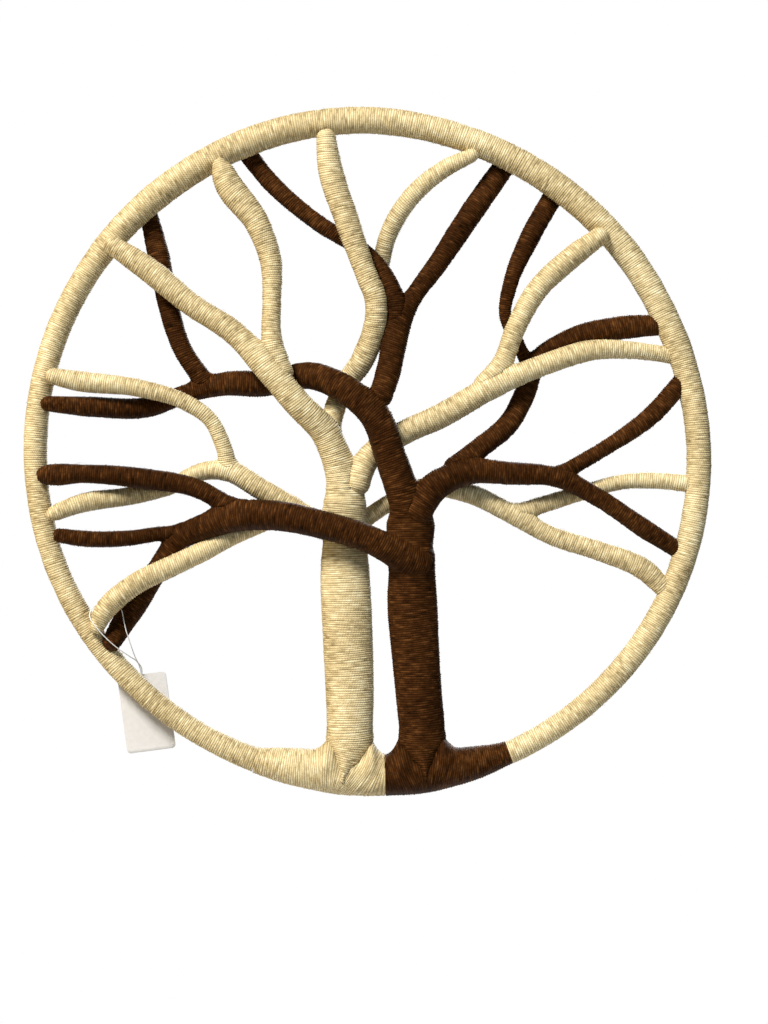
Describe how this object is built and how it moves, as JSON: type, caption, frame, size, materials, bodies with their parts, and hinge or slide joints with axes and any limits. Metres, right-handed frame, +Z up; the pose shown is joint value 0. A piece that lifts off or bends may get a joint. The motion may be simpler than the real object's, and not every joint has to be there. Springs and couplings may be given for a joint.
{
  "type": "tree of life wall hanging",
  "caption": "Round wall hanging: a cream and a dark brown tree of yarn-wrapped wire cross inside a cream yarn-wrapped hoop, with a blank tag on a thread.",
  "frame": {"origin": "the point under the inner edge of the hoop's top where a wall hook carries it, midway through the hoop's thickness", "axes": "+Z up, +Y from the front towards the wall, +X to the viewer's right"},
  "size_m": [0.6006, 0.0644, 0.5969],
  "materials": {
    "cream_yarn": "satin",
    "brown_yarn": "satin",
    "steel_rod": "satin",
    "craft_wire": "satin",
    "card": "matte",
    "cotton_thread": "matte"
  },
  "bodies": {
    "hanging": {"hoop_wrap_right": "cream_yarn", "hoop_wrap_upper_right": "cream_yarn", "hoop_wrap_top": "cream_yarn", "hoop_wrap_left": "cream_yarn", "hoop_wrap_lower_left": "cream_yarn", "cream_root_wrap": "cream_yarn", "cream_trunk_wrap": "cream_yarn", "brown_root_wrap": "brown_yarn", "brown_trunk_wrap": "brown_yarn", "cream_branch_1_wrap": "cream_yarn", "cream_branch_2_wrap": "cream_yarn", "cream_branch_3_wrap": "cream_yarn", "cream_branch_4_wrap": "cream_yarn", "cream_branch_5_wrap": "cream_yarn", "cream_branch_6_wrap": "cream_yarn", "cream_branch_7_wrap": "cream_yarn", "cream_branch_8_wrap": "cream_yarn", "cream_branch_9_wrap": "cream_yarn", "cream_branch_10_wrap": "cream_yarn", "cream_branch_11_wrap": "cream_yarn", "brown_branch_1_wrap": "brown_yarn", "brown_branch_2_wrap": "brown_yarn", "brown_branch_3_wrap": "brown_yarn", "brown_branch_4_wrap": "brown_yarn", "brown_branch_5_wrap": "brown_yarn", "brown_branch_6_wrap": "brown_yarn", "brown_branch_7_wrap": "brown_yarn", "brown_branch_8_wrap": "brown_yarn", "brown_branch_9_wrap": "brown_yarn", "brown_branch_10_wrap": "brown_yarn", "brown_branch_11_wrap": "brown_yarn", "hoop_core": "steel_rod", "cream_trunk_core": "craft_wire", "brown_trunk_core": "craft_wire", "cream_branch_1_wire": "craft_wire", "cream_branch_2_wire": "craft_wire", "cream_branch_3_wire": "craft_wire", "cream_branch_4_wire": "craft_wire", "cream_branch_5_wire": "craft_wire", "cream_branch_6_wire": "craft_wire", "cream_branch_7_wire": "craft_wire", "cream_branch_8_wire": "craft_wire", "cream_branch_9_wire": "craft_wire", "cream_branch_10_wire": "craft_wire", "cream_branch_11_wire": "craft_wire", "brown_branch_1_wire": "craft_wire", "brown_branch_2_wire": "craft_wire", "brown_branch_3_wire": "craft_wire", "brown_branch_4_wire": "craft_wire", "brown_branch_5_wire": "craft_wire", "brown_branch_6_wire": "craft_wire", "brown_branch_7_wire": "craft_wire", "brown_branch_8_wire": "craft_wire", "brown_branch_9_wire": "craft_wire", "brown_branch_10_wire": "craft_wire", "brown_branch_11_wire": "craft_wire", "tag_thread": "cotton_thread"},
    "tag": {"hang_tag": "card"}
  },
  "joints": [
    {"name": "tag_swing", "type": "hinge", "parent": "hanging", "child": "tag", "pos_m": [-0.1807, 0.0132, -0.4757], "axis": [0, 1, 0], "range_deg": [-20, 35]}
  ]
}
